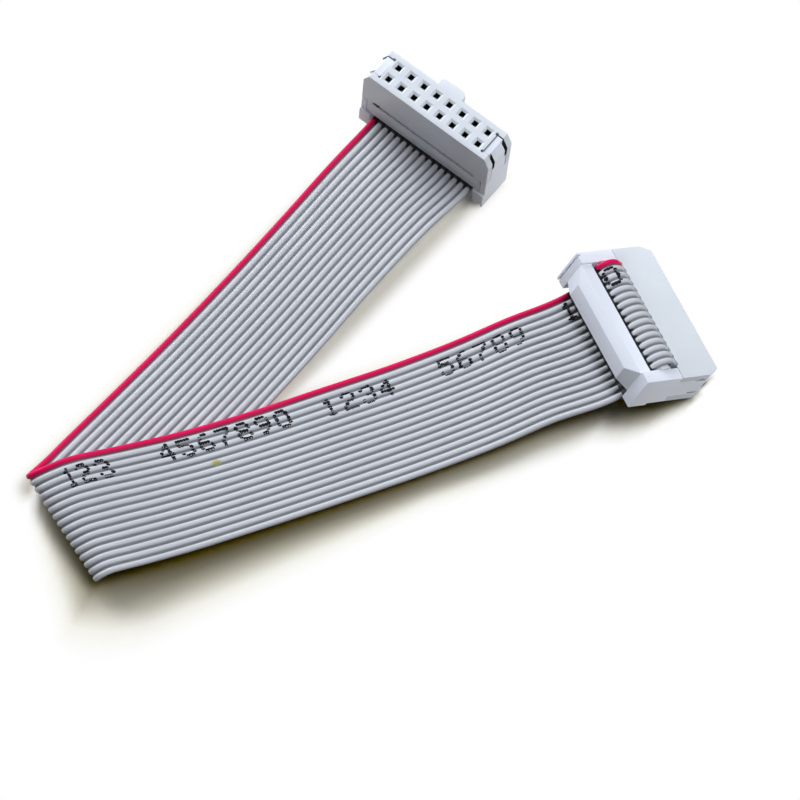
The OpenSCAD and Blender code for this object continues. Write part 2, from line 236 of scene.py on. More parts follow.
class Tree:
    """Adds nodes to a node tree and joins them."""

    def __init__(self, tree: bpy.types.NodeTree) -> None:
        """Keeps the tree."""
        self.tree = tree

    def join(self, source: Wire, target: Wire) -> None:
        """Joins an output to an input."""
        self.tree.links.new(source, target)

    def add(self, kind: str, inputs: dict | None = None, **settings: object) -> bpy.types.Node:
        """Adds a shader node.

        Args:
            kind: Blender's name of the node type, after "ShaderNode".
            inputs: Values, or sockets to join, by input name or number. A colour has three numbers.
            **settings: Properties of the node.

        Returns:
            The new node.
        """
        node = self.tree.nodes.new("ShaderNode" + kind)
        for key, value in settings.items():
            setattr(node, key, value)
        for key, value in (inputs or {}).items():
            target = node.inputs[key]
            if isinstance(value, Wire):
                self.join(value, target)
            else:
                target.default_value = (*value, 1.0) if target.type == "RGBA" else value
        return node

    def maths(self, operation: str, *values: Wire | float, clamp: bool = False) -> Wire:
        """Adds one step of arithmetic and returns its result."""
        return self.add("Math", dict(enumerate(values)), operation=operation, use_clamp=clamp).outputs[0]

    def mix(self, mask: Wire | float, first: Wire | Colour, second: Wire | Colour) -> Wire:
        """Mixes two colours by a mask and returns the result."""
        return self.add("Mix", {6: first, 7: second, 0: mask}, data_type="RGBA").outputs[2]

    def rise(self, value: Wire, low: float | Wire, high: float | Wire) -> Wire:
        """Rises smoothly from 0 where the value is low to 1 where it is high, and returns the result."""
        ends = {"Value": value, "From Min": low, "From Max": high}
        return self.add("MapRange", ends, interpolation_type="SMOOTHSTEP").outputs["Result"]

    def lay(self, group: bpy.types.NodeTree, values: dict, strength: float, under: Wire, over: Colour) -> Wire:
        """Lays one colour over another by an effect's mask times a strength, and returns the result."""
        mask = self.add("Group", values, node_tree=group).outputs["Mask"]
        return self.mix(self.maths("MULTIPLY", mask, strength), under, over)


NUMBER, PLACE, PAINT = 0.0, (0.0, 0.0, 0.0), (1.0, 1.0, 1.0, 1.0)


def effect(name: str, inputs: dict, outputs: dict) -> tuple[Tree, dict, dict]:
    """Starts a node group. A socket's kind follows from its value: a number, a place or a colour.

    Args:
        name: Name of the group.
        inputs: Default of each input, by name.
        outputs: A value of its kind for each output, by name.

    Returns:
        The group's tree, its inputs' sockets and its outputs' sockets, by name.
    """
    group = bpy.data.node_groups.new(name, "ShaderNodeTree")
    for way, sockets in (("INPUT", inputs), ("OUTPUT", outputs)):
        for label, value in sockets.items():
            kind = {1: "NodeSocketFloat", 3: "NodeSocketVector", 4: "NodeSocketColor"}[np.size(value)]
            group.interface.new_socket(label, in_out=way, socket_type=kind).default_value = value
    start, end = group.nodes.new("NodeGroupInput"), group.nodes.new("NodeGroupOutput")
    return Tree(group), {k: start.outputs[k] for k in inputs}, {k: end.inputs[k] for k in outputs}


class Effects:
    """The shader effects that several finishes share, each built once as a node group."""

    def __init__(self) -> None:
        """Builds the groups."""
        self.grain = self._grain()
        self.drift = self._drift()
        self.specks = self._specks()
        self.furrow = self._furrow()
        self.dark_patch = self._dark_patch()
        self.spot = self._spot()
        self.mouth = self._mouth()

    @staticmethod
    def _grain() -> bpy.types.NodeTree:
        """Fine moulded grain, which raises the surface and varies its gloss.

        The height is a coarse noise and 0.35 of one five times finer. The roughness is the gloss, plus
        the coarse noise less a half times the spread.

        Returns:
            The group.
        """
        tree, given, out = effect(
            "moulded grain",
            {"Scale": 1000.0, "Depth": 0.00001, "Gloss": 0.4, "Spread": 0.1},
            {"Normal": PLACE, "Roughness": NUMBER},
        )
        place = tree.add("TexCoord").outputs["Object"]
        coarse = tree.add("TexNoise", {"Vector": place, "Scale": given["Scale"], "Detail": 2.0}).outputs["Fac"]
        finer = tree.maths("MULTIPLY", given["Scale"], 5.0)
        fine = tree.add("TexNoise", {"Vector": place, "Scale": finer, "Detail": 1.0}).outputs["Fac"]
        height = tree.maths("MULTIPLY_ADD", fine, 0.35, coarse)
        bump = tree.add("Bump", {"Height": height, "Distance": given["Depth"]})
        swing = tree.maths("MULTIPLY", tree.maths("SUBTRACT", coarse, 0.5), given["Spread"])
        tree.join(bump.outputs["Normal"], out["Normal"])
        tree.join(tree.maths("ADD", given["Gloss"], swing, clamp=True), out["Roughness"])
        return tree.tree

    @staticmethod
    def _drift() -> bpy.types.NodeTree:
        """Slow change of tone: a soft noise, spread from 0.35 to 0.65, mixes a second colour in by the amount.

        Returns:
            The group.
        """
        tree, given, out = effect(
            "tone drift", {"Color": PAINT, "Shade": PAINT, "Scale": 120.0, "Amount": 0.4}, {"Color": PAINT}
        )
        place = tree.add("TexCoord").outputs["Object"]
        noise = tree.add("TexNoise", {"Vector": place, "Scale": given["Scale"], "Detail": 3.0})
        spread = tree.add("MapRange", {"Value": noise.outputs["Fac"], "From Min": 0.35, "From Max": 0.65})
        mask = tree.maths("MULTIPLY", spread.outputs["Result"], given["Amount"])
        tree.join(tree.mix(mask, given["Color"], given["Shade"]), out["Color"])
        return tree.tree

    @staticmethod
    def _specks() -> bpy.types.NodeTree:
        """Scattered dust and pinholes: a round spot in each of the few cells whose random number is highest.

        Returns:
            The group.
        """
        tree, given, out = effect("dust specks", {"Scale": 700.0, "Share": 0.06, "Radius": 0.16}, {"Mask": NUMBER})
        place = tree.add("TexCoord").outputs["Object"]
        cells = tree.add("TexVoronoi", {"Vector": place, "Scale": given["Scale"]})
        chance = tree.add("SeparateColor", {"Color": cells.outputs["Color"]}).outputs[0]
        chosen = tree.maths("GREATER_THAN", chance, tree.maths("SUBTRACT", 1.0, given["Share"]))
        near = tree.maths("LESS_THAN", cells.outputs["Distance"], given["Radius"])
        tree.join(tree.maths("MULTIPLY", chosen, near), out["Mask"])
        return tree.tree

    @staticmethod
    def _furrow() -> bpy.types.NodeTree:
        """Painted shade between the cores.

        The map's first number counts cores. With a hundred and a half added, to keep it above zero, its
        part after the point less a half is the distance from the nearest core. The mask rises from the
        start to the end with twice that. With One Side at 1 only the side of the next core counts.

        Returns:
            The group, which also gives the distance along the ribbon.
        """
        tree, given, out = effect(
            "furrow between cores", {"Start": 0.5, "End": 0.95, "One Side": 0.0}, {"Mask": NUMBER, "Along": NUMBER}
        )
        place = tree.add("SeparateXYZ", {"Vector": tree.add("UVMap", uv_map="lie").outputs["UV"]})
        offset = tree.maths("SUBTRACT", tree.maths("FRACT", tree.maths("ADD", place.outputs["X"], 100.5)), 0.5)
        both = tree.maths("MULTIPLY", tree.maths("ABSOLUTE", offset), tree.maths("SUBTRACT", 1.0, given["One Side"]))
        away = tree.maths("MULTIPLY", tree.maths("MAXIMUM", offset, both), 2.0)
        tree.join(tree.rise(away, given["Start"], given["End"]), out["Mask"])
        tree.join(place.outputs["Y"], out["Along"])
        return tree.tree

    @staticmethod
    def _ragged(tree: Tree, away: Wire, radius: Wire, scale: float, middle: float) -> Wire:
        """Mask of one ragged spot, full in its middle and gone at its radius, which a noise varies by half.

        Args:
            tree: The group's tree.
            away: Distance from the spot's middle.
            radius: Its radius.
            scale: Scale of the noise.
            middle: Share of the radius that is full.

        Returns:
            The mask.
        """
        noise = tree.add("TexNoise", {"Vector": tree.add("TexCoord").outputs["Object"], "Scale": scale})
        reach = tree.maths("MULTIPLY", radius, tree.maths("ADD", noise.outputs["Fac"], 0.5))
        return tree.rise(tree.maths("DIVIDE", away, reach), 1.0, middle)

    @staticmethod
    def _dark_patch() -> bpy.types.NodeTree:
        """One ragged dark patch at a place of the ribbon's map, used for stains and for painted shade.

        The way along the ribbon counts by 0.6, so the patch is longer that way than across.

        Returns:
            The group.
        """
        tree, given, out = effect(
            "single dark patch", {"Core": 0.0, "Along": 0.0, "Radius": 0.001, "Pitch": 0.00127}, {"Mask": NUMBER}
        )
        place = tree.add("SeparateXYZ", {"Vector": tree.add("UVMap", uv_map="lie").outputs["UV"]})
        across = tree.maths("MULTIPLY", tree.maths("SUBTRACT", place.outputs["X"], given["Core"]), given["Pitch"])
        ahead = tree.maths("MULTIPLY", tree.maths("SUBTRACT", place.outputs["Y"], given["Along"]), 0.6)
        square = tree.maths("ADD", tree.maths("POWER", across, 2.0), tree.maths("POWER", ahead, 2.0))
        tree.join(Effects._ragged(tree, tree.maths("SQRT", square), given["Radius"], 2500.0, 0.35), out["Mask"])
        return tree.tree

    @staticmethod
    def _spot() -> bpy.types.NodeTree:
        """One ragged dark spot round a point of a piece, used for specks of dirt and for painted shade.

        Returns:
            The group.
        """
        tree, given, out = effect("single spot", {"Place": PLACE, "Radius": 0.0003}, {"Mask": NUMBER})
        ends = {0: tree.add("TexCoord").outputs["Object"], 1: given["Place"]}
        away = tree.add("VectorMath", ends, operation="DISTANCE").outputs["Value"]
        tree.join(Effects._ragged(tree, away, given["Radius"], 3500.0, 0.4), out["Mask"])
        return tree.tree

    @staticmethod
    def _mouth() -> bpy.types.NodeTree:
        """Painted shade where the ribbon goes into a socket.

        It goes up to Reach outside the mouth on a crest, and further by Extra in a furrow, and is full
        over the first 0.45 of that. Way is 1 where the ribbon leaves with rising distance, else -1. The
        painted shade also covers the hidden 3 mm inside.

        Returns:
            The group.
        """
        tree, given, out = effect(
            "painted shade at a mouth",
            {"Along": 0.0, "Furrow": 0.0, "Place": 0.0, "Way": 1.0, "Reach": 0.0005, "Extra": 0.0007},
            {"Mask": NUMBER},
        )
        outside = tree.maths("MULTIPLY", tree.maths("SUBTRACT", given["Along"], given["Place"]), given["Way"])
        limit = tree.maths("MULTIPLY_ADD", given["Furrow"], given["Extra"], given["Reach"])
        fall = tree.rise(tree.maths("DIVIDE", outside, limit), 1.0, 0.45)
        hidden = tree.maths("GREATER_THAN", outside, -0.003)
        tree.join(tree.maths("MULTIPLY", fall, hidden), out["Mask"])
        return tree.tree


# ---- Finishes ----


@dataclass(frozen=True)
class Finish:
    """One shader with a tone that drifts over the piece and a fine grain that swings its gloss.

    Attributes:
        name: Name of the material.
        colour: Main colour.
        shade: Colour that drifts in.
        roughness: Middle roughness.
        gloss: Strength of its reflections.
        metallic: 1 on metal, else 0.
        drift: Scale and amount of the drift.
        grain: Scale, depth in millimetres and swing of the grain, or nothing.
    """

    name: str
    colour: Colour
    shade: Colour
    roughness: float = 0.42
    gloss: float = 0.5
    metallic: float = 0.0
    drift: tuple[float, float] = (90.0, 0.5)
    grain: tuple[float, float, float] | None = (1500.0, 0.008, 0.25)

    def material(self, effects: Effects) -> Material:
        """Builds the material.

        Args:
            effects: The shared shader effects.

        Returns:
            The finished material.
        """
        material = bpy.data.materials.new(self.name)
        material.use_nodes = True
        tree = Tree(material.node_tree)
        shader = material.node_tree.nodes["Principled BSDF"].inputs
        shader["Roughness"].default_value = self.roughness
        shader["Specular IOR Level"].default_value = self.gloss
        shader["Metallic"].default_value = self.metallic
        scale, amount = self.drift
        tones = {"Color": self.colour, "Shade": self.shade, "Scale": scale, "Amount": amount}
        tone = tree.add("Group", tones, node_tree=effects.drift).outputs["Color"]
        tree.join(self._marked(tree, effects, tone), shader["Base Color"])
        if self.grain:
            scale, depth, swing = self.grain
            sizes = {"Scale": scale, "Depth": depth * MM, "Gloss": self.roughness, "Spread": swing}
            grain = tree.add("Group", sizes, node_tree=effects.grain).outputs
            tree.join(grain["Roughness"], shader["Roughness"])
            tree.join(grain["Normal"], shader["Normal"])
        return material

    def _marked(self, tree: Tree, effects: Effects, tone: Wire) -> Wire:
        """The tone with the finish's own marks laid over it, here none."""
        return tone


@dataclass(frozen=True)
class MouldedPlastic(Finish):
    """Satin glass-filled thermoplastic of the sockets.

    Attributes:
        fleck: Colour of its few specks.
        dust: Scale, share, radius and strength of the specks.
        deep: Colour of the painted shade in the pin entries and the slots beside the clip's arms, and of the single
            dark spots.
        spots_and_painted_shade: Place in metres, radius in metres and strength of each single dark spot: specks of
            dirt, and painted shade along a crimp seam.
    """

    name: str = "moulded socket plastic"
    colour: Colour = (0.76, 0.80, 0.84)
    shade: Colour = (0.71, 0.75, 0.79)
    gloss: float = 0.25
    drift: tuple[float, float] = (140.0, 0.6)
    grain: tuple[float, float, float] | None = (2600.0, 0.012, 0.22)
    fleck: Colour = (0.5, 0.5, 0.5)
    dust: tuple[float, float, float, float] = (900.0, 0.03, 0.12, 0.4)
    deep: Colour = (0.018, 0.019, 0.022)
    spots_and_painted_shade: tuple[tuple[tuple[float, float, float], float, float], ...] = ()

    def _marked(self, tree: Tree, effects: Effects, tone: Wire) -> Wire:
        """Lays the specks, the single dark spots and the painted shade of the entries and arm slots over the tone.

        Args:
            tree: The material's tree.
            effects: The shared shader effects.
            tone: The drifting tone.

        Returns:
            The marked colour.
        """
        scale, share, radius, strength = self.dust
        sizes = {"Scale": scale, "Share": share, "Radius": radius}
        tint = tree.lay(effects.specks, sizes, strength, tone, self.fleck)
        # Single dark spots: specks of dirt, and painted shade along a crimp seam.
        for place, radius, strength in self.spots_and_painted_shade:
            tint = tree.lay(effects.spot, {"Place": place, "Radius": radius}, strength, tint, self.deep)
        # Painted shade in the pin entries and the slots beside the clip's arms, by the number "inside".
        inside = tree.add("Attribute", attribute_name="inside")
        return tree.mix(inside.outputs["Fac"], tint, self.deep)


@dataclass(frozen=True)
class SoftVinyl(Finish):
    """Extruded vinyl insulation, with painted shade in the furrows between its cores.

    Attributes:
        furrow: Colour of the painted shade in the furrows, and of the specks.
        furrow_share: How far the furrow's colour covers it.
        furrow_from: Share of the half pitch at which the furrow's colour starts.
        furrow_full: Share of the half pitch from which it is full.
        one_side: 1 where only the side of the next core has a furrow, else 0.
        dust: Scale, share, radius and strength of the specks.
        mouths: Distance along, way, reach and extra reach in the furrows of the painted shade at each socket.
        painted_mouth_shade: Colour of that painted shade.
        painted_mouth_shade_share: How far it covers.
        stains_and_painted_shade: Core, distance along in metres, radius in metres and colour of each single dark
            patch: stains, and painted shade.
    """

    furrow: Colour = (0.12, 0.13, 0.145)
    furrow_share: float = 0.85
    furrow_from: float = 0.3
    furrow_full: float = 0.85
    one_side: float = 0.0
    dust: tuple[float, float, float, float] = (600.0, 0.03, 0.12, 0.35)
    mouths: tuple[tuple[float, float, float, float], ...] = ()
    painted_mouth_shade: Colour = (0.012, 0.012, 0.014)
    painted_mouth_shade_share: float = 0.96
    stains_and_painted_shade: tuple[tuple[float, float, float, Colour], ...] = ()

    def _marked(self, tree: Tree, effects: Effects, tone: Wire) -> Wire:
        """Lays the painted shade in the furrows, the specks, the painted shade at the sockets and the dark patches
        over the tone.

        Args:
            tree: The material's tree.
            effects: The shared shader effects.
            tone: The drifting tone.

        Returns:
            The marked colour.
        """
        # Painted shade in the furrows between the cores.
        ends = {"Start": self.furrow_from, "End": self.furrow_full, "One Side": self.one_side}
        furrow = tree.add("Group", ends, node_tree=effects.furrow).outputs
        tint = tree.mix(tree.maths("MULTIPLY", furrow["Mask"], self.furrow_share), tone, self.furrow)
        scale, share, radius, strength = self.dust
        tint = tree.lay(
            effects.specks, {"Scale": scale, "Share": share, "Radius": radius}, strength, tint, self.furrow
        )
        # Painted shade where the ribbon goes into each socket and under the clip's bar.
        for mouth in self.mouths:
            sizes = dict(zip(("Place", "Way", "Reach", "Extra"), mouth))
            sizes |= {"Along": furrow["Along"], "Furrow": furrow["Mask"]}
            tint = tree.lay(effects.mouth, sizes, self.painted_mouth_shade_share, tint, self.painted_mouth_shade)
        # Dark patches: real stains, and painted shade on the red core's cut end.
        for core, far, radius, colour in self.stains_and_painted_shade:
            tint = tree.lay(effects.dark_patch, {"Core": core, "Along": far, "Radius": radius}, 1.0, tint, colour)
        return tint


@dataclass(frozen=True)
class PlatedMetal(Finish):
    """Plated strip or strand, with a drifting tone and a fine grain that swings its gloss."""

    roughness: float = 0.3
    metallic: float = 1.0
    drift: tuple[float, float] = (600.0, 0.7)
    grain: tuple[float, float, float] | None = (4000.0, 0.004, 0.3)


@dataclass(frozen=True)
class MarkInk(Finish):
    """Thin dry ink of the printed numbers, patchy where the nozzle ran short."""

    name: str = "marking ink"
    colour: Colour = (0.012, 0.012, 0.015)
    shade: Colour = (0.04, 0.04, 0.045)
    roughness: float = 0.8
    gloss: float = 0.08
    drift: tuple[float, float] = (900.0, 0.25)
    grain: tuple[float, float, float] | None = None


# ---- Where things lie ----


@dataclass(frozen=True)
class SocketPose:
    """How one socket lies.

    In a socket's own frame X runs along its length, the ribbon leaves towards -Y, loops round the +Y
    side, and the mating face looks along +Z.

    Attributes:
        number: Number of the socket.
        origin: Place of its origin.
        turn: Its turns about X, Y and Z, in degrees.
        red_side: End that the red edge core lies at, 1 or -1 along X.
    """

    number: int
    origin: tuple[float, float, float]
    turn: tuple[float, float, float]
    red_side: int

    def matrix(self) -> Array:
        """Rotation of the pose: about X first, then Y, then Z.

        Returns:
            Three rows of three.
        """
        (cx, sx), (cy, sy), (cz, sz) = ((math.cos(math.radians(a)), math.sin(math.radians(a))) for a in self.turn)
        about_x = np.array([[1, 0, 0], [0, cx, -sx], [0, sx, cx]])
        about_y = np.array([[cy, 0, sy], [0, 1, 0], [-sy, 0, cy]])
        about_z = np.array([[cz, -sz, 0], [sz, cz, 0], [0, 0, 1]])
        return about_z @ about_y @ about_x

    def place(self, points: Array) -> Array:
        """Moves points from the socket's own frame to the shared one, in millimetres."""
        return points @ self.matrix().T + np.array(self.origin)

    def own(self, flat: Array) -> Array:
        """Rows of places in the socket's own frame, in millimetres, from a flat list in metres."""
        return (flat.reshape(-1, 3) / MM - np.array(self.origin)) @ self.matrix()


POSES = (
    SocketPose(1, (-15.93, 20.58, 0.931), (3.0, 6.0, -38.0), -1),
    SocketPose(2, (9.27, -18.98, 11.38), (118.5, -2.5, 115.0), 1),
)


def ahead_and_left(heading: float) -> tuple[Array, Array]:
    """Directions on the floor along a heading in degrees and square to it."""
    c, s = math.cos(math.radians(heading)), math.sin(math.radians(heading))
    return np.array([c, s]), np.array([-s, c])


@dataclass(frozen=True)
class Ribbon:
    """The ribbon's section, and the way it takes through both sockets and the fold between them.

    Attributes:
        pitch: Distance between cores.
        cores: Number of cores.
        core_radius: Half the thickness over a core.
        web_half: Half the thickness of the web between two cores.
        crest_power: How flat a core's crest is: 2 is a circle, and more is flatter.
        cut_y: Side of the body where the ribbon is cut, along Y in a socket's frame.
        cut_setback: How far inside it the cut end lies.
        crimp_level: Level of the slot between body and cover.
        relief_level: Level of the slot between cover and clip.
        loop_y: Where the loop round the cover's nose starts.
        loop_steps: Number of steps round that loop.
        fold_at: Place on the floor that the runs are measured from.
        lower_heading: Direction of the lower half, in degrees.
        upper_heading: Direction of the upper half, in degrees.
        lower_run: Rings of the lower half: distance, height at the red and at the grey edge, and share
            of the fold's slant.
        upper_run: The same for the upper half.
        fold_rolls: Radius, swing up and down, and middle height of the fold at each edge, red first.
        fold_angles: Angles of the fold's rings, in degrees.
        exit_1: Rings on the way out of socket 1: place along its Y and height over the relief slot.
        exit_2: The same for socket 2.
    """

    pitch: float = 1.27
    cores: int = 16
    core_radius: float = 0.45
    web_half: float = 0.16
    crest_power: float = 2.7
    cut_y: float = -3.0
    cut_setback: float = 0.15
    crimp_level: float = 8.1
    relief_level: float = 3.6
    loop_y: float = 1.6
    loop_steps: int = 7
    fold_at: tuple[float, float] = (-74.03, -50.2)
    lower_heading: float = 50.4
    upper_heading: float = 21.2
    lower_run: tuple[tuple[float, ...], ...] = (
        (78, 4.4, 4.2, 0), (65, 2.8, 3.7, 0), (51, 1.6, 1.8, 0.1), (37, 1.1, 0.7, 0.4), (23, 1.4, 0.5, 0.8),
        (11, 1.9, 0.5, 1),
    )
    upper_run: tuple[tuple[float, ...], ...] = (
        (9, 6.3, 3.1, 1), (16, 4.7, 2.3, 0.9), (25, 2.8, 1.8, 0.75), (36, 1.7, 1.5, 0.5), (48, 1.6, 1.4, 0.2),
        (60, 1.6, 1.6, 0), (70, 2.5, 2.5, 0), (78, 4, 4, 0),
    )
    fold_rolls: tuple[tuple[float, ...], ...] = ((4.6, 2.1, 4.1), (2.8, 1.7, 2.2))
    fold_angles: tuple[float, ...] = (-75, -45, -15, 15, 45, 75)
    exit_1: tuple[tuple[float, float], ...] = ((-1.6, 0), (-3.4, 0))
    exit_2: tuple[tuple[float, float], ...] = ((-1.6, 0), (-2.7, -0.3), (-3.8, -1.1), (-4.9, -2.3))

    @property
    def span(self) -> float:
        """Distance between the middles of the two edge cores."""
        return (self.cores - 1) * self.pitch

    def _inside(self, pose: SocketPose, exits: tuple[tuple[float, float], ...]) -> Array:
        """Rings through one socket: cut end, half circle round the cover's nose, relief slot and way out.

        Args:
            pose: How the socket lies.
            exits: The rings on the way out.

        Returns:
            For each ring the middles of the red edge core and of the last grey core.
        """
        radius = (self.crimp_level - self.relief_level) / 2
        middle = (self.crimp_level + self.relief_level) / 2
        angle = np.radians(90 - 180 * np.arange(self.loop_steps + 1) / self.loop_steps)
        way = [(self.cut_y + self.cut_setback, self.crimp_level)]
        way += list(zip(self.loop_y + radius * np.cos(angle), middle + radius * np.sin(angle)))
        way += [(y, self.relief_level + z) for y, z in exits]
        edge = pose.red_side * self.span / 2
        return np.array([pose.place(np.array([[edge, y, z], [-edge, y, z]])) for y, z in way])

    def _run(self, rows: tuple[tuple[float, ...], ...], heading: float, way: int) -> Array:
        """Rings of a straight run: along the heading from the fold, and half a span to each side.

        Args:
            rows: Distance, height at each edge and share of the fold's slant, for each ring.
            heading: Direction of the run, in degrees.
            way: 1 where the fold's slant puts the red edge ahead, else -1.

        Returns:
            For each ring the middles of the red edge core and of the last grey core.
        """
        slant = math.tan(math.radians((self.lower_heading - self.upper_heading) / 2))
        half = self.span / 2
        ahead, left = ahead_and_left(heading)
        rings = []
        for distance, red_z, grey_z, share in rows:
            lead = way * share * half * slant
            red = np.array(self.fold_at) + (distance + lead) * ahead + half * left
            grey = np.array(self.fold_at) + (distance - lead) * ahead - half * left
            rings.append([[*red, red_z], [*grey, grey_z]])
        return np.array(rings)

    def _fold(self) -> Array:
        """Rings of the rolled fold.

        Each edge goes half round a flat circle of its own radius, and slides along the fold's line so
        that it meets both runs.

        Returns:
            For each ring the middles of the red edge core and of the last grey core.
        """
        back, beside = ahead_and_left((self.lower_heading + self.upper_heading) / 2)
        line = -beside
        angles = np.radians(np.array(self.fold_angles))
        share = (angles + math.pi / 2) / math.pi
        edges = []
        for side, (radius, swing, height) in zip((1, -1), self.fold_rolls):
            depth = math.pi / 2 * radius
            reach = []
            for ahead, left in map(ahead_and_left, (self.lower_heading, self.upper_heading)):
                edge = side * self.span / 2 * left
                reach.append((edge + (depth - edge @ back) / (ahead @ back) * ahead) @ line)
            deep = (depth - radius * np.cos(angles))[:, None] * back
            flat = np.array(self.fold_at) + deep + (reach[0] + (reach[1] - reach[0]) * share)[:, None] * line
            edges.append(np.column_stack([flat, height + swing * np.sin(angles)]))
        return np.stack(edges, axis=1)

    def rings(self) -> Array:
        """All rings from the cut end in socket 1 to the cut end in socket 2.

        Returns:
            For each ring the middles of the red edge core and of the last grey core.
        """
        first = self._inside(POSES[0], self.exit_1)
        last = self._inside(POSES[1], self.exit_2)[::-1]
        lower = self._run(self.lower_run, self.lower_heading, 1)
        upper = self._run(self.upper_run, self.upper_heading, -1)
        return np.concatenate([first, lower, self._fold(), upper, last])


class Face(Enum):
    """The two faces of the ribbon."""

    PRINTED = 1
    PLAIN = -1


class Sheet:
    """The smooth surface that the ribbon lies in, between the middles of its edge cores.

    Attributes:
        MOUTHS: Painted shade where the ribbon leaves socket 1, socket 2 and the bar of socket 2's clip: number
        of the nearest ring, distance past it, way out, and reach on crests and further in furrows.
    """

    MOUTHS = ((9, 1.45, 1.0, 0.45, 0.75), (-10, -2.9, -1.0, 0.4, 1.7), (-9, 0.675, 1.0, 0.3, 0.6))

    def __init__(self, ribbon: Ribbon) -> None:
        """Lays smooth curves through the ribbon's rings.

        Args:
            ribbon: The ribbon's section and its way.
        """
        self.ribbon = ribbon
        self.rings = ribbon.rings()
        self.knots = along(self.rings.mean(axis=1))
        self.length = float(self.knots[-1])

    def mouths(self) -> tuple[tuple[float, float, float, float], ...]:
        """Distance along, way and both reaches of the painted shade at each mouth, in metres."""
        rows = ((self.knots[ring] + past, *rest) for ring, past, *rest in self.MOUTHS)
        return tuple((place * MM, way, reach * MM, extra * MM) for place, way, reach, extra in rows)

    def edges(self, at: Array) -> tuple[Array, Array]:
        """Middles of the red edge core and of the last grey core at distances along the ribbon."""
        return hermite(self.knots, self.rings[:, 0], at), hermite(self.knots, self.rings[:, 1], at)

    def point(self, at: Array, across: Array, height: Array | float = 0.0) -> Array:
        """Places on the ribbon, in metres.

        A place is the red edge's middle, plus the way across to the last core times its share, plus
        the height along the normal, which is square to the way across and to the ribbon's direction.

        Args:
            at: Distances along the ribbon, any shape.
            across: Distances from the red edge's middle, same shape.
            height: Distances out of the ribbon's middle plane, same shape.

        Returns:
            An array of that shape with a last axis of three.
        """
        step = 0.02
        flat = np.clip(np.asarray(at, float).ravel(), 0, self.length)
        red, grey = self.edges(flat)
        before, after = self.edges(np.clip(flat - step, 0, None)), self.edges(np.clip(flat + step, None, self.length))
        ahead = (after[0] + after[1]) - (before[0] + before[1])
        normal = unit(np.cross(grey - red, ahead))
        share = np.asarray(across, float).ravel()[:, None] / self.ribbon.span
        raised = np.broadcast_to(height, np.shape(at)).ravel()[:, None] * normal
        return ((red + (grey - red) * share + raised) * MM).reshape(*np.shape(at), 3)

    def stations(self, fine: float, coarse: float) -> Array:
        """Distances along the ribbon that crowd where it turns.

        The step is a fixed turn over the sharpness of the turning there, evened out over a short way.

        Args:
            fine: Step where it turns tightly.
            coarse: Step where it is straight.

        Returns:
            Rising distances from end to end.
        """
        samples, even, turn = 4000, 41, 0.16
        dense = np.linspace(0, self.length, samples)
        turning = np.zeros(samples)
        for edge in self.edges(dense):
            ahead = unit(np.gradient(edge, axis=0))
            turning = np.maximum(turning, np.linalg.norm(np.gradient(ahead, dense, axis=0), axis=1))
        smooth = np.convolve(np.pad(turning, even // 2, mode="edge"), np.ones(even) / even, mode="valid")
        step = np.clip(turn / np.maximum(smooth, TINY), fine, coarse)
        count = np.concatenate([[0.0], np.cumsum(np.diff(dense) / step[1:])])
        return np.interp(np.linspace(0, count[-1], math.ceil(count[-1]) + 1), count, dense)

    def core_height(self, across: Array) -> Array:
        """Half the ribbon's thickness at a distance from the red edge.

        Over each core it is a flattened circle, the curve whose two distances, each raised to the crest
        power, add up to that power of the radius. It blends into the flat web by adding fourth powers
        and taking the fourth root.

        Args:
            across: Distances from the red edge core's middle.

        Returns:
            Heights above the middle plane.
        """
        r, w, pitch = self.ribbon.core_radius, self.ribbon.web_half, self.ribbon.pitch
        off = across - pitch * np.clip(np.round(across / pitch), 0, self.ribbon.cores - 1)
        power = self.ribbon.crest_power
        circle = np.clip(r**power - np.abs(off) ** power, 0, None) ** (1 / power)
        return np.minimum((circle**4 + w**4) ** 0.25, r)


# ---- The cord ----


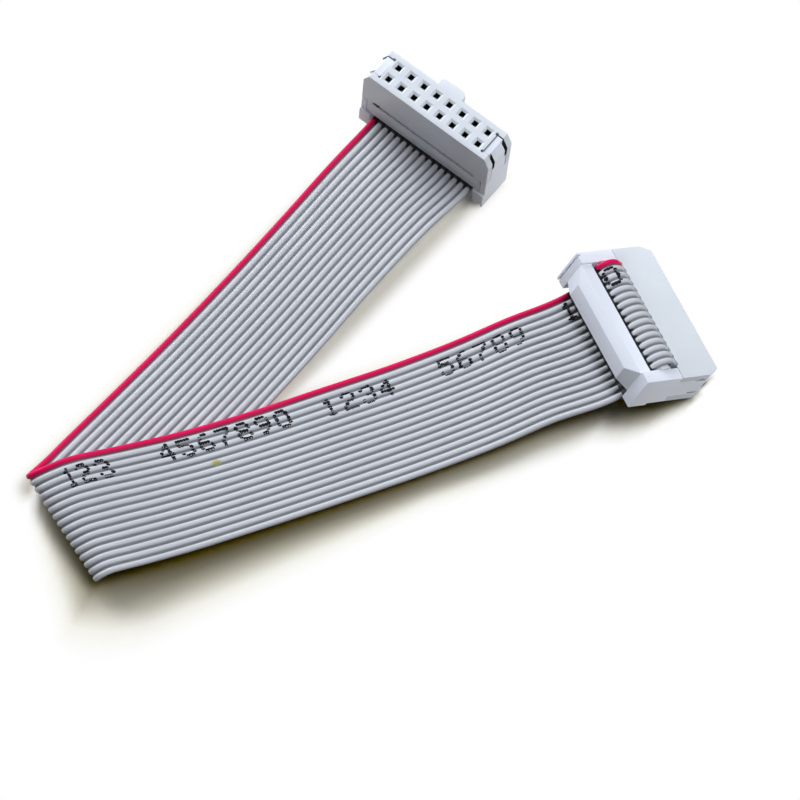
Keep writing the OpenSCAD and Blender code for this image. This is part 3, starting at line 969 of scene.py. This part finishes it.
class Cord:
    """The ribbon: grey and red insulation, and a conductor in each core.

    Attributes:
        CORE_STEPS: Places across a core where its section has points.
        EDGE_TURNS: Angles of the points round an outer edge, from the crest out.
        INSULATION_STEPS: Finest and coarsest step of the insulation along the ribbon.
        STRAND_STEPS: The same for the strands.
        STRAND_RADIUS: Radius of a strand.
        STRAND_SIDES: Sides of a strand.
        LAY: Way in which the outer strands wind once round the middle one.
        PATH_POINTS: Number of points of a path along the ribbon.
    """

    CORE_STEPS = np.array([-0.635, -0.5, -0.41, -0.31, -0.17, 0.0, 0.17, 0.31, 0.41, 0.5])
    EDGE_TURNS = np.radians(np.array([20, 40, 60, 78]))
    INSULATION_STEPS = (0.42, 1.0)
    STRAND_STEPS = (0.8, 3.0)
    STRAND_RADIUS = 0.052
    STRAND_SIDES = 6
    LAY = 12
    PATH_POINTS = 300

    def __init__(self, sheet: Sheet) -> None:
        """Keeps the surface that the ribbon lies in."""
        self.sheet = sheet
        self.ribbon = sheet.ribbon

    def _swept(self, name: str, top: Array) -> Piece:
        """Carries a section and its mirror image along the ribbon and closes both ends.

        Args:
            name: Name of the piece.
            top: Rows of (across, height) over the section's upper side, from the red side on.

        Returns:
            The piece.
        """
        section = np.vstack([top * [1, -1], top[::-1]])
        at = self.sheet.stations(*self.INSULATION_STEPS)
        far, across = np.meshgrid(at, section[:, 0], indexing="ij")
        points = self.sheet.point(far, across, section[:, 1]).reshape(-1, 3)
        lie = np.column_stack([across.ravel() / self.ribbon.pitch, far.ravel() * MM])
        return mesh_piece(name, points, tube_faces(*far.shape), lie)

    def _edge(self) -> Array:
        """Rows of (distance out, height) round an outer edge, from the crest out."""
        return self.ribbon.core_radius * np.column_stack([np.sin(self.EDGE_TURNS), np.cos(self.EDGE_TURNS)])

    def grey(self) -> Piece:
        """Insulation of cores 2 to 16: ribs on both faces and a round outer edge.

        Returns:
            The piece.
        """
        span = self.ribbon.span
        inner = (self.ribbon.pitch * np.arange(1, self.ribbon.cores)[:, None] + self.CORE_STEPS).ravel()
        inner = inner[inner <= span + TINY]
        ribs = np.column_stack([inner, self.sheet.core_height(inner)])
        return self._swept("grey_insulation", np.vstack([ribs, self._edge() + [span, 0]]))

    def red(self) -> Piece:
        """Insulation of core 1, round outside and joined to the grey along half a web.

        Returns:
            The piece.
        """
        inner = np.append(self.CORE_STEPS[self.CORE_STEPS >= 0], self.ribbon.pitch / 2)
        rib = np.column_stack([inner, self.sheet.core_height(inner)])
        return self._swept("red_insulation", np.vstack([self._edge()[::-1] * [-1, 1], rib]))

    def strands(self, number: int) -> Piece:
        """Conductor of one core: six strands round a seventh, each a tube that winds round the middle one.

        A strand's middle lies two strand radii out, at an angle that grows evenly along the ribbon.

        Args:
            number: The core, counted from the red edge.

        Returns:
            The piece.
        """
        at, radius, sides = self.sheet.stations(*self.STRAND_STEPS), self.STRAND_RADIUS, self.STRAND_SIDES
        ring = np.radians(np.arange(sides) * 60 + 30)
        places = np.radians(np.arange(6) * 60)
        middle = (number - 1) * self.ribbon.pitch
        far = np.repeat(at[:, None], sides, axis=1)
        points, quads = [], []
        for k in range(7):
            wound = places[k - 1] + 2 * math.pi * at / self.LAY if k else np.zeros_like(at)
            reach = 2 * radius if k else 0.0
            across = middle + (reach * np.cos(wound))[:, None] + radius * np.cos(ring)
            height = (reach * np.sin(wound))[:, None] + radius * np.sin(ring)
            points.append(self.sheet.point(far, across, height).reshape(-1, 3))
            quads.append(tube_faces(len(at), sides, k * far.size))
        return mesh_piece(f"strands_{number}", np.concatenate(points), np.concatenate(quads))


# ---- Print ----


@dataclass(frozen=True)
class NumberPrint:
    """Plain numbers printed along the ribbon by a dot printer.

    Attributes:
        groups: Text of each group, the distance along the ribbon where it starts and the distance of
            its top row of dots from the red edge core's middle.
        advance: Distance from one number to the next.
        dot_pitch: Distance between dots, along and across.
        dot_size: Size of a dot, along and across.
        stray: How far a dot strays.
        swell: Smallest and largest share of the size.
        sides: Points round a dot.
        rings: Share of the size and of the lift of each ring of points.
        lift: How far the ink stands off the insulation.
        seed: Start of the random draws.
        GLYPHS: Rows of dots of each number, as the bits of a number for each row.
    """

    groups: tuple[tuple[str, float, float], ...] = (
        ("123", 107.9, 1.5), ("4567890", 123.9, 1.3), ("1234", 149.3, 1.95), ("56789", 168.2, 2.0),
        ("12", 189.6, 1.3), ("0", 199.25, 1.15),
    )
    advance: float = 3.03
    dot_pitch: tuple[float, float] = (0.43, 0.46)
    dot_size: tuple[float, float] = (0.68, 0.6)
    stray: float = 0.02
    swell: tuple[float, float] = (0.82, 1.08)
    sides: int = 10
    rings: tuple[tuple[float, float], ...] = ((0.02, 1.0), (0.62, 1.0), (0.92, 0.8), (1.0, -0.6))
    lift: float = 0.008
    seed: int = 7

    GLYPHS = {
        "0": (0x0E, 0x11, 0x11, 0x11, 0x11, 0x11, 0x0E), "1": (0x04, 0x0C, 0x04, 0x04, 0x04, 0x04, 0x0E),
        "2": (0x0E, 0x11, 0x01, 0x06, 0x08, 0x10, 0x1F), "3": (0x0E, 0x11, 0x01, 0x06, 0x01, 0x11, 0x0E),
        "4": (0x02, 0x06, 0x0A, 0x12, 0x1F, 0x02, 0x02), "5": (0x1F, 0x10, 0x1E, 0x01, 0x01, 0x11, 0x0E),
        "6": (0x06, 0x08, 0x10, 0x1E, 0x11, 0x11, 0x0E), "7": (0x1F, 0x01, 0x02, 0x04, 0x08, 0x08, 0x08),
        "8": (0x0E, 0x11, 0x11, 0x0E, 0x11, 0x11, 0x0E), "9": (0x0E, 0x11, 0x11, 0x0F, 0x01, 0x02, 0x0C),
    }

    def dots(self) -> Array:
        """Middles of all dots.

        Returns:
            Rows of (distance along, distance across).
        """
        found = []
        for text, start, top in self.groups:
            for place, sign in enumerate(text):
                bits = np.array(self.GLYPHS[sign])[:, None] >> np.arange(4, -1, -1) & 1
                row, column = np.nonzero(bits)
                far = start + place * self.advance + column * self.dot_pitch[0]
                found.append(np.column_stack([far, top + row * self.dot_pitch[1]]))
        return np.concatenate(found)

    def piece(self, sheet: Sheet, face: Face) -> Piece:
        """Makes the dots: ovals of a few rings on the ribbon's surface, each a little uneven.

        A point of a dot is its middle plus a share of its half size times the cosine and sine of an
        angle, raised just clear of the insulation, and its rim goes down to it.

        Args:
            sheet: The surface that the ribbon lies in.
            face: The face that is printed.

        Returns:
            The piece.
        """
        dots, chance = self.dots(), np.random.default_rng(self.seed)
        dots = dots + chance.normal(0, self.stray, dots.shape)
        size = np.array(self.dot_size) / 2 * chance.uniform(*self.swell, (len(dots), 1))
        angle = np.radians(np.arange(self.sides) * 360 / self.sides)
        share, lift = np.array(self.rings).T[:, :, None]
        far = dots[:, 0, None, None] + size[:, 0, None, None] * share * np.cos(angle)
        across = dots[:, 1, None, None] + size[:, 1, None, None] * share * np.sin(angle)
        height = face.value * (sheet.core_height(across) + lift * self.lift)
        points = sheet.point(far, across, height).reshape(-1, 3)
        one = np.concatenate(
            [grid_faces(len(share), self.sides, closed=True), lid_faces(self.sides, 0, flip=True)]
        )
        if face is Face.PRINTED:
            one = one[:, ::-1]
        each = np.arange(len(dots))[:, None, None] * share.size * self.sides
        return mesh_piece("printed_numbers", points, (one + each).reshape(-1, 4))


# ---- Sockets ----


def within(values: Array, low: float, high: float) -> Array:
    """Says which of the values lie between two limits."""
    return (values > low) & (values < high)


class Moulding(Enum):
    """The moulded parts of a socket, by the start of their CAD nodes' names."""

    BODY = "socket_body"
    COVER = "socket_cover"
    CLIP = "strain_relief"


@dataclass(frozen=True)
class Socket:
    """One crimped socket: body, cover, strain relief clip and contacts.

    Its places are in the socket's own frame, and they hold at both of its ends.

    Attributes:
        pose: How the socket lies.
        edge_round: Radius that the mould leaves on every outer edge.
        edge_steps: Steps round that radius.
        edge_angle: Least turn of an edge that is rounded, in degrees.
        flat_angle: Turn below which two faces are one, in degrees.
        columns: Contacts in each of its two rows.
        block: Half length, half width, lower and upper level of the room below the funnels, whose faces take painted
            shade.
        wall: Least place along, place across and margin of the walls of the slots beside the arms, which take painted
            shade.
        tip_along: Limits along the socket of the slots' ends at the arm tips.
        tip_across: Limits across it.
        tip_level: Level above which they lie.
        snug_end: End whose hook is pressed home against the body, 1 or -1 along the socket's length, or 0.
        hook: Place along, margin and least level of the hook's inner face, and how far it is pressed.
        slot_shade: Share of painted shade in the narrow slots beside the arm tips, at the -X and the +X end.
    """

    pose: SocketPose
    edge_round: float = 0.11
    edge_steps: int = 3
    edge_angle: float = 12.0
    flat_angle: float = 1.0
    columns: int = 8
    block: tuple[float, float, float, float] = (10.1, 2.5, 9.0, 15.2)
    wall: tuple[float, float, float] = (10.6, 1.9, 0.02)
    tip_along: tuple[float, float] = (11.5, 12.35)
    tip_across: tuple[float, float] = (1.25, 1.6)
    tip_level: float = 11.55
    snug_end: int = 0
    hook: tuple[float, float, float, float] = (10.475, 0.03, 13.9, 0.18)
    slot_shade: tuple[float, float] = (0.7, 1.0)

    def _moulded(self, part: Moulding, finish: Material) -> None:
        """Rounds the edges of one moulded part and dresses it.

        Args:
            part: The part.
            finish: Its finish.
        """
        node = f"{part.value}_{self.pose.number}"
        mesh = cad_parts[node].data.copy()
        work = bmesh.new()
        work.from_mesh(mesh)
        bmesh.ops.remove_doubles(work, verts=work.verts, dist=TINY)
        flat = math.radians(self.flat_angle)
        bmesh.ops.dissolve_limit(work, angle_limit=flat, verts=work.verts, edges=work.edges)
        work.to_mesh(mesh)
        work.free()
        # The body and the clip get painted shade in their entries and slots.
        if part is not Moulding.COVER:
            self._mark_painted_shade(mesh)
        if part is Moulding.CLIP and self.snug_end:
            self._press_hook(mesh)
        mesh.shade_smooth()
        piece = bpy.data.objects.new(f"moulded_{node}", mesh)
        bpy.context.scene.collection.objects.link(piece)
        bevel = piece.modifiers.new("rounded edges", "BEVEL")
        bevel.width, bevel.segments = self.edge_round * MM, self.edge_steps
        bevel.limit_method, bevel.angle_limit = "ANGLE", math.radians(self.edge_angle)
        bevel.harden_normals, bevel.use_clamp_overlap = True, True
        settle(piece, finish, node)

    def _press_hook(self, mesh: bpy.types.Mesh) -> None:
        """Moves the inner face of the hook at the snug end up to the wall of the body's recess.

        Args:
            mesh: Mesh of the clip.
        """
        flat = np.empty(3 * len(mesh.vertices))
        mesh.vertices.foreach_get("co", flat)
        own = self.pose.own(flat)
        place, margin, level, way = self.hook
        face = (np.abs(own[:, 0] * self.snug_end - place) < margin) & (own[:, 2] > level)
        own[face, 0] -= way * self.snug_end
        mesh.vertices.foreach_set("co", (self.pose.place(own) * MM).ravel())

    def _mark_painted_shade(self, mesh: bpy.types.Mesh) -> None:
        """Gives each face the number "inside", its share of painted shade.

        It is 1 where the face's middle lies within the block of entries, the slot's shade in the narrow
        slots beside the clip's arms, and 0 elsewhere.

        Args:
            mesh: Mesh of a moulded part.
        """
        middles = np.empty(3 * len(mesh.polygons))
        mesh.polygons.foreach_get("center", middles)
        own = self.pose.own(middles)
        x, y, z = np.abs(own[:, 0]), np.abs(own[:, 1]), own[:, 2]
        wide, deep, low, top = self.block
        entries = (x < wide) & (y < deep) & within(z, low, top)
        start, place, margin = self.wall
        wall = (x > start) & (np.abs(y - place) < margin)
        tip = within(x, *self.tip_along) & within(y, *self.tip_across) & (z > self.tip_level)
        slots = (wall | tip) * np.where(own[:, 0] < 0, *self.slot_shade)
        # The number is the share of painted shade that the finish lays on the face.
        inside = np.maximum(entries, slots).astype(np.float32)
        mesh.attributes.new("inside", "FLOAT", "FACE").data.foreach_set("value", inside)

    def build(self, plastic: Material, clip: Material, metal: Material) -> None:
        """Makes and dresses the socket's pieces.

        Args:
            plastic: Finish of the body and the cover.
            clip: Finish of the strain relief clip.
            metal: Finish of the contacts.
        """
        for part in Moulding:
            self._moulded(part, clip if part is Moulding.CLIP else plastic)
        for row in "ab":
            for column in range(1, self.columns + 1):
                dress(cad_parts[f"contact_{self.pose.number}{row}{column}"], metal)
        log.info("socket %d: %d contacts", self.pose.number, 2 * self.columns)


# ---- Studio ----


COOL = (0.97, 1.0, 1.06)
WHITE = (1.0, 1.0, 1.0)


@dataclass(frozen=True)
class Lamp:
    """One soft rectangular lamp that looks at a point.

    Attributes:
        name: Name of the lamp.
        place: Where it stands, in metres.
        size: Its two sides, in metres.
        power: Its power, in watts.
        colour: Colour of its light.
    """

    name: str
    place: tuple[float, float, float]
    size: tuple[float, float]
    power: float
    colour: Colour = COOL


def seen(tree: Tree) -> Wire:
    """Says 1 to rays from the camera and to those that a mirror or a glass sends on, else 0.

    Args:
        tree: The tree that asks.

    Returns:
        The output with the number.
    """
    path = tree.add("LightPath").outputs
    bright = tree.maths("MAXIMUM", path["Is Glossy Ray"], path["Is Transmission Ray"])
    return tree.maths("MAXIMUM", path["Is Camera Ray"], bright)


@dataclass(frozen=True)
class Studio:
    """Camera and lamps.

    Attributes:
        target: What the camera looks at, in metres.
        back: How far the camera stands back from it, in metres.
        up: How far the camera stands above it, in metres.
        elevation: Angle that the camera looks down by, in degrees.
        sensor: Width of its sensor.
        lens: Its focal length.
        clip: Nearest and farthest distance that it sees, in metres.
        lamps: The soft lamps.
        sky: Strength of the even light round them.
    """

    target: tuple[float, float, float] = (-0.02113, -0.0249, 0.0)
    back: float = 0.35
    up: float = 0.606218
    elevation: float = 60.0
    sensor: float = 36.0
    lens: float = 203.3955
    clip: tuple[float, float] = (0.05, 10.0)
    lamps: tuple[Lamp, ...] = (
        Lamp("low back left", (-0.594, 0.600, 0.326), (0.45, 0.45), 5.2),
        Lamp("back", (-0.264, 0.651, 0.558), (0.45, 0.45), 3.4),
        Lamp("left glint", (-0.77, 0.02, 0.51), (0.15, 0.3), 0.4),
        Lamp("right above", (0.417, -0.116, 0.783), (0.45, 0.45), 5.0),
        Lamp("low right", (0.69, -0.565, 0.11), (0.3, 0.2), 0.5, WHITE),
    )
    sky: float = 0.02

    def camera(self) -> None:
        """Places the camera behind and above the target, looking at it, with no shift."""
        data = bpy.data.cameras.new("camera")
        data.sensor_width, data.lens = self.sensor, self.lens
        data.clip_start, data.clip_end = self.clip
        eye = bpy.data.objects.new("camera", data)
        eye.location = np.array(self.target) + np.array([0.0, -self.back, self.up])
        eye.rotation_euler = (math.radians(90 - self.elevation), 0.0, 0.0)
        bpy.context.scene.collection.objects.link(eye)
        bpy.context.scene.camera = eye

    def light(self) -> None:
        """Hangs the lamps and lights the surroundings evenly, white to the camera."""
        for lamp in self.lamps:
            data = bpy.data.lights.new(lamp.name, "AREA")
            data.shape, data.energy, data.color = "RECTANGLE", lamp.power, lamp.colour
            data.size, data.size_y = lamp.size
            holder = bpy.data.objects.new(lamp.name, data)
            holder.location = lamp.place
            way = Vector(self.target) - Vector(lamp.place)
            holder.rotation_euler = way.to_track_quat("-Z", "Y").to_euler()
            bpy.context.scene.collection.objects.link(holder)
        world = bpy.data.worlds.new("surroundings")
        world.use_nodes = True
        tree = Tree(world.node_tree)
        background = world.node_tree.nodes["Background"].inputs
        background["Color"].default_value = (*WHITE, 1.0)
        tree.join(tree.maths("MAXIMUM", seen(tree), self.sky), background["Strength"])
        bpy.context.scene.world = world


@dataclass(frozen=True)
class Floor:
    """Pale floor that keeps the lamps' shadow beside the ribbon, carries a painted shadow in front of its upper half,
    and shows white away from it.

    Attributes:
        level: Its height.
        fine: First and last place, and number of places, of its fine grid along X and along Y.
        rim: Places of the coarse grid beyond it, on either side.
        under: Number of places along and across at which the ribbon's outline is taken.
        over: Number of places across the fold and along the front edge at which the painted shadow starts.
        bounce: Colour with which it lights the object.
        shown: Its colour to the camera beside the ribbon, where it keeps the shadow.
        painted_shadow_colour: Colour of the painted shadow at its deepest.
        halo: Distance from the ribbon at which it shows white.
        set_back: How far under the ribbon the painted shadow is deepest, as a share of the edge's height.
        lean: How far to the left the painted shadow falls, as a share of how far it falls forward.
        reach: Places along X, and how far the painted shadow falls from there.
        foot: Places on the floor along the front of the lying socket.
        onset: Way forward over which the painted shadow's numbers take over from the halo's.
        ends: Reach over which they do so at both ends of the painted shadow.
        lift: Share of the reach over which the floor turns white.
        fade: Depth at the start of the painted shadow, and how much of it is lost over its reach.
    """

    level: float = -0.1
    fine: tuple[float, float, int] = (-110.0, 60.0, 171)
    rim: tuple[float, float] = (500.0, 1500.0)
    under: tuple[int, int] = (220, 14)
    over: tuple[int, int] = (30, 200)
    bounce: Colour = (0.46, 0.445, 0.42)
    shown: Colour = (0.92, 0.88, 0.74)
    painted_shadow_colour: Colour = (0.10, 0.07, 0.0)
    halo: float = 3.4
    set_back: float = 0.577
    lean: float = 0.5
    reach: tuple[tuple[float, float], ...] = (
        (-76.6, 0.5), (-75, 4.5), (-72, 6.5), (-68.5, 8.5), (-64, 12.0), (-58, 14.5), (-52.5, 15.2), (-45, 14.0),
        (-31.5, 11.0), (-14, 7.7), (1, 8.0), (13, 6.8), (17, 6.0), (21.5, 4.8), (26, 3.6), (28, 0.5),
    )
    foot: tuple[tuple[float, float], ...] = (
        (12.5, -24.4), (16.0, -25.3), (19.0, -25.1), (25.3, -22.5), (28.0, -20.0),
    )
    onset: tuple[float, float] = (-2.0, 0.0)
    ends: tuple[float, float] = (0.5, 2.5)
    lift: tuple[float, float] = (0.55, 1.3)
    fade: tuple[float, float] = (1.15, 1.3)

    def lay(self, sheet: Sheet) -> None:
        """Lays the floor and gives its points the numbers "clear", the share of even white, and "dark", the share of
        painted shadow.

        Args:
            sheet: The surface that the ribbon lies in.
        """
        rim = np.array(self.rim)
        steps = np.concatenate([-rim[::-1], np.linspace(*self.fine), rim])
        x, y = np.meshgrid(steps, steps)
        points = np.stack([x, y, np.full_like(x, self.level)], axis=-1)
        floor = mesh_piece("floor", points.reshape(-1, 3) * MM, grid_faces(*x.shape, closed=False))
        for label, values in zip(("clear", "dark"), self._shares(x, y, sheet)):
            numbers = floor.data.attributes.new(label, "FLOAT", "POINT")
            numbers.data.foreach_set("value", values.astype(np.float32).ravel())
        dress(floor, self._material())

    def _shares(self, x: Array, y: Array, sheet: Sheet) -> tuple[Array, Array]:
        """Shares of even white and of the painted shadow's colour at points of the floor.

        The white rises quickly with the distance to the ribbon, but in front of the ribbon's upper half
        it rises over the painted shadow's reach. The painted shadow's colour is full along the line that it
        falls from, and fades evenly with the way forward over the reach.

        Args:
            x: Places along X, one row for each place along Y.
            y: Places along Y, same shape.
            sheet: The surface that the ribbon lies in.

        Returns:
            The share of white and the share of the painted shadow's colour, same shape.
        """
        way, width = (np.linspace(0, end, n) for end, n in zip((sheet.length, sheet.ribbon.span), self.under))
        under = sheet.point(*np.meshgrid(way, width)).reshape(-1, 3)[:, :2] / MM
        away = np.array([self._distance(row, under) for row in np.stack([x, y], axis=-1)])
        front = self._front(sheet)
        slant = front[:, 0] - self.lean * front[:, 1]
        order = np.argsort(slant)
        front, slant, line = front[order], slant[order], x - self.lean * y
        ahead = np.interp(line, slant, front[:, 1]) - y
        reach = np.interp(line, slant, np.interp(front[:, 0], *zip(*self.reach)))
        side = smooth_step(ahead, *self.onset) * smooth_step(reach, *self.ends)
        share = np.clip(ahead, 0, None) / reach
        clear = (1 - side) * smooth_step(away, 0.0, self.halo) + side * smooth_step(share, *self.lift)
        return clear, side * np.clip(self.fade[0] - self.fade[1] * share, 0, 1)

    def _front(self, sheet: Sheet) -> Array:
        """Line that the painted shadow falls from: the fold, the upper half's front edge and the lying socket's foot.

        Args:
            sheet: The surface that the ribbon lies in.

        Returns:
            Rows of (x, y).
        """
        half, span, (folded, straight) = sheet.length / 2, sheet.ribbon.span, self.over
        far = np.concatenate([np.full(folded, half), np.linspace(half, sheet.length, straight)])
        across = np.concatenate([np.linspace(0, span, folded), np.full(straight, span)])
        front = sheet.point(far, across) / MM
        front[:, 1] += self.set_back * front[:, 2]
        return np.concatenate([front[front[:, 0] < self.foot[0][0], :2], self.foot])

    @staticmethod
    def _distance(row: Array, spread: Array) -> Array:
        """Distance from each point of a row to the nearest of the spread points.

        Its square is the sum of both points' squares less twice their product.

        Args:
            row: Rows of (x, y).
            spread: Rows of (x, y).

        Returns:
            One distance for each point of the row.
        """
        square = (row**2).sum(axis=1)[:, None] + (spread**2).sum(axis=1) - 2 * row @ spread.T
        return np.sqrt(np.clip(square.min(axis=1), 0, None))

    def _material(self) -> Material:
        """Matt floor to the light, and a mix of matt and even white to whoever sees it; the matt colour that it shows
        darkens towards the painted shadow's by "dark".

        Returns:
            The material.
        """
        material = bpy.data.materials.new("floor")
        material.use_nodes = True
        material.node_tree.nodes.clear()
        tree = Tree(material.node_tree)
        eye = seen(tree)
        clear, dark = (tree.add("Attribute", attribute_name=label).outputs["Fac"] for label in ("clear", "dark"))
        # Painted shadow: the colour that the floor shows darkens by the number "dark".
        shown = tree.mix(dark, self.shown, self.painted_shadow_colour)
        matt = tree.add("BsdfDiffuse", {"Color": tree.mix(eye, self.bounce, shown)}).outputs[0]
        white = tree.add("Emission", {"Color": WHITE}).outputs[0]
        both = tree.add("MixShader", {0: tree.maths("MULTIPLY", clear, eye), 1: matt, 2: white}).outputs[0]
        tree.add("OutputMaterial", {"Surface": both})
        return material


# ---- Assembly ----


def build_cord(sheet: Sheet, effects: Effects) -> None:
    """Args:
        sheet: The surface that the ribbon lies in.
        effects: The shared shader effects.
    """
    cord = Cord(sheet)
    grey_vinyl = SoftVinyl(
        "grey vinyl", (0.60, 0.615, 0.645), (0.545, 0.56, 0.59), roughness=0.5, gloss=0.32,
        # The furrows and the mouths lay painted shade on the grey vinyl.
        furrow=(0.12, 0.13, 0.145), furrow_from=0.42, mouths=sheet.mouths(),
        stains_and_painted_shade=((5.12, 0.1305, 0.0006, (0.42, 0.40, 0.14)), (6.46, 0.0214, 0.0003, (0.16, 0.17, 0.18))),
    ).material(effects)
    red_vinyl = SoftVinyl(
        "red vinyl", (0.78, 0.001, 0.10), (0.66, 0.001, 0.08), roughness=0.55, gloss=0.15,
        # The furrow on the side of the next core and the mouths lay painted shade on the red vinyl.
        furrow=(0.15, 0.07, 0.09), furrow_share=0.95, furrow_from=0.5, one_side=1.0, mouths=sheet.mouths(),
        # The red core's one patch darkens its cut end inside socket 1: painted shade.
        stains_and_painted_shade=((0.0, 0.0, 0.0007, (0.05, 0.03, 0.035)),),
    ).material(effects)
    tinned = PlatedMetal("tinned copper", (0.72, 0.70, 0.66), (0.60, 0.46, 0.34)).material(effects)
    grey, red = cord.grey(), cord.red()
    settle(grey, grey_vinyl, "ribbon_grey_cores")
    settle(red, red_vinyl, "ribbon_red_core")
    strands = []
    for number in range(1, sheet.ribbon.cores + 1):
        strands.append(cord.strands(number))
        settle(strands[-1], tinned, f"conductor_{number}")
    marks = NumberPrint().piece(sheet, Face.PRINTED)
    settle(marks, MarkInk().material(effects))


def main() -> None:
    """Builds the studio, the cord and the sockets in order."""
    logging.basicConfig(level=logging.INFO, format="%(message)s")
    bpy.context.scene.view_settings.view_transform = "Standard"
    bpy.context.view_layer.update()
    studio = Studio()
    studio.camera()
    effects = Effects()
    sheet = Sheet(Ribbon())
    build_cord(sheet, effects)
    plastic = MouldedPlastic(
        spots_and_painted_shade=(
            # The first three marks are specks of dirt on socket 2; the last three lie in a row along the crimp seam
            # on socket 1's front face beside the red core: painted shade.
            ((0.01764, -0.02859, 0.00639), 0.00035, 0.8), ((0.02414, -0.02546, 0.00435), 0.0003, 0.7),
            ((0.02527, -0.02503, 0.00637), 0.0004, 0.8), ((-0.02525, 0.02352, 0.00987), 0.0004, 0.9),
            ((-0.02488, 0.02322, 0.01007), 0.00035, 0.9), ((-0.02445, 0.02286, 0.01028), 0.0003, 0.8),
        )
    ).material(effects)
    clip = MouldedPlastic(
        "moulded clip plastic", (0.84, 0.88, 0.96), (0.80, 0.84, 0.92), roughness=0.36, gloss=0.5
    ).material(effects)
    brass = PlatedMetal("flashed bronze", (0.80, 0.62, 0.36), (0.58, 0.43, 0.24)).material(effects)
    Socket(POSES[0], snug_end=-1).build(plastic, clip, brass)
    Socket(POSES[1], slot_shade=(0.1, 0.8)).build(plastic, clip, brass)
    studio.light()
    Floor().lay(sheet)


if __name__ == "__main__":
    main()
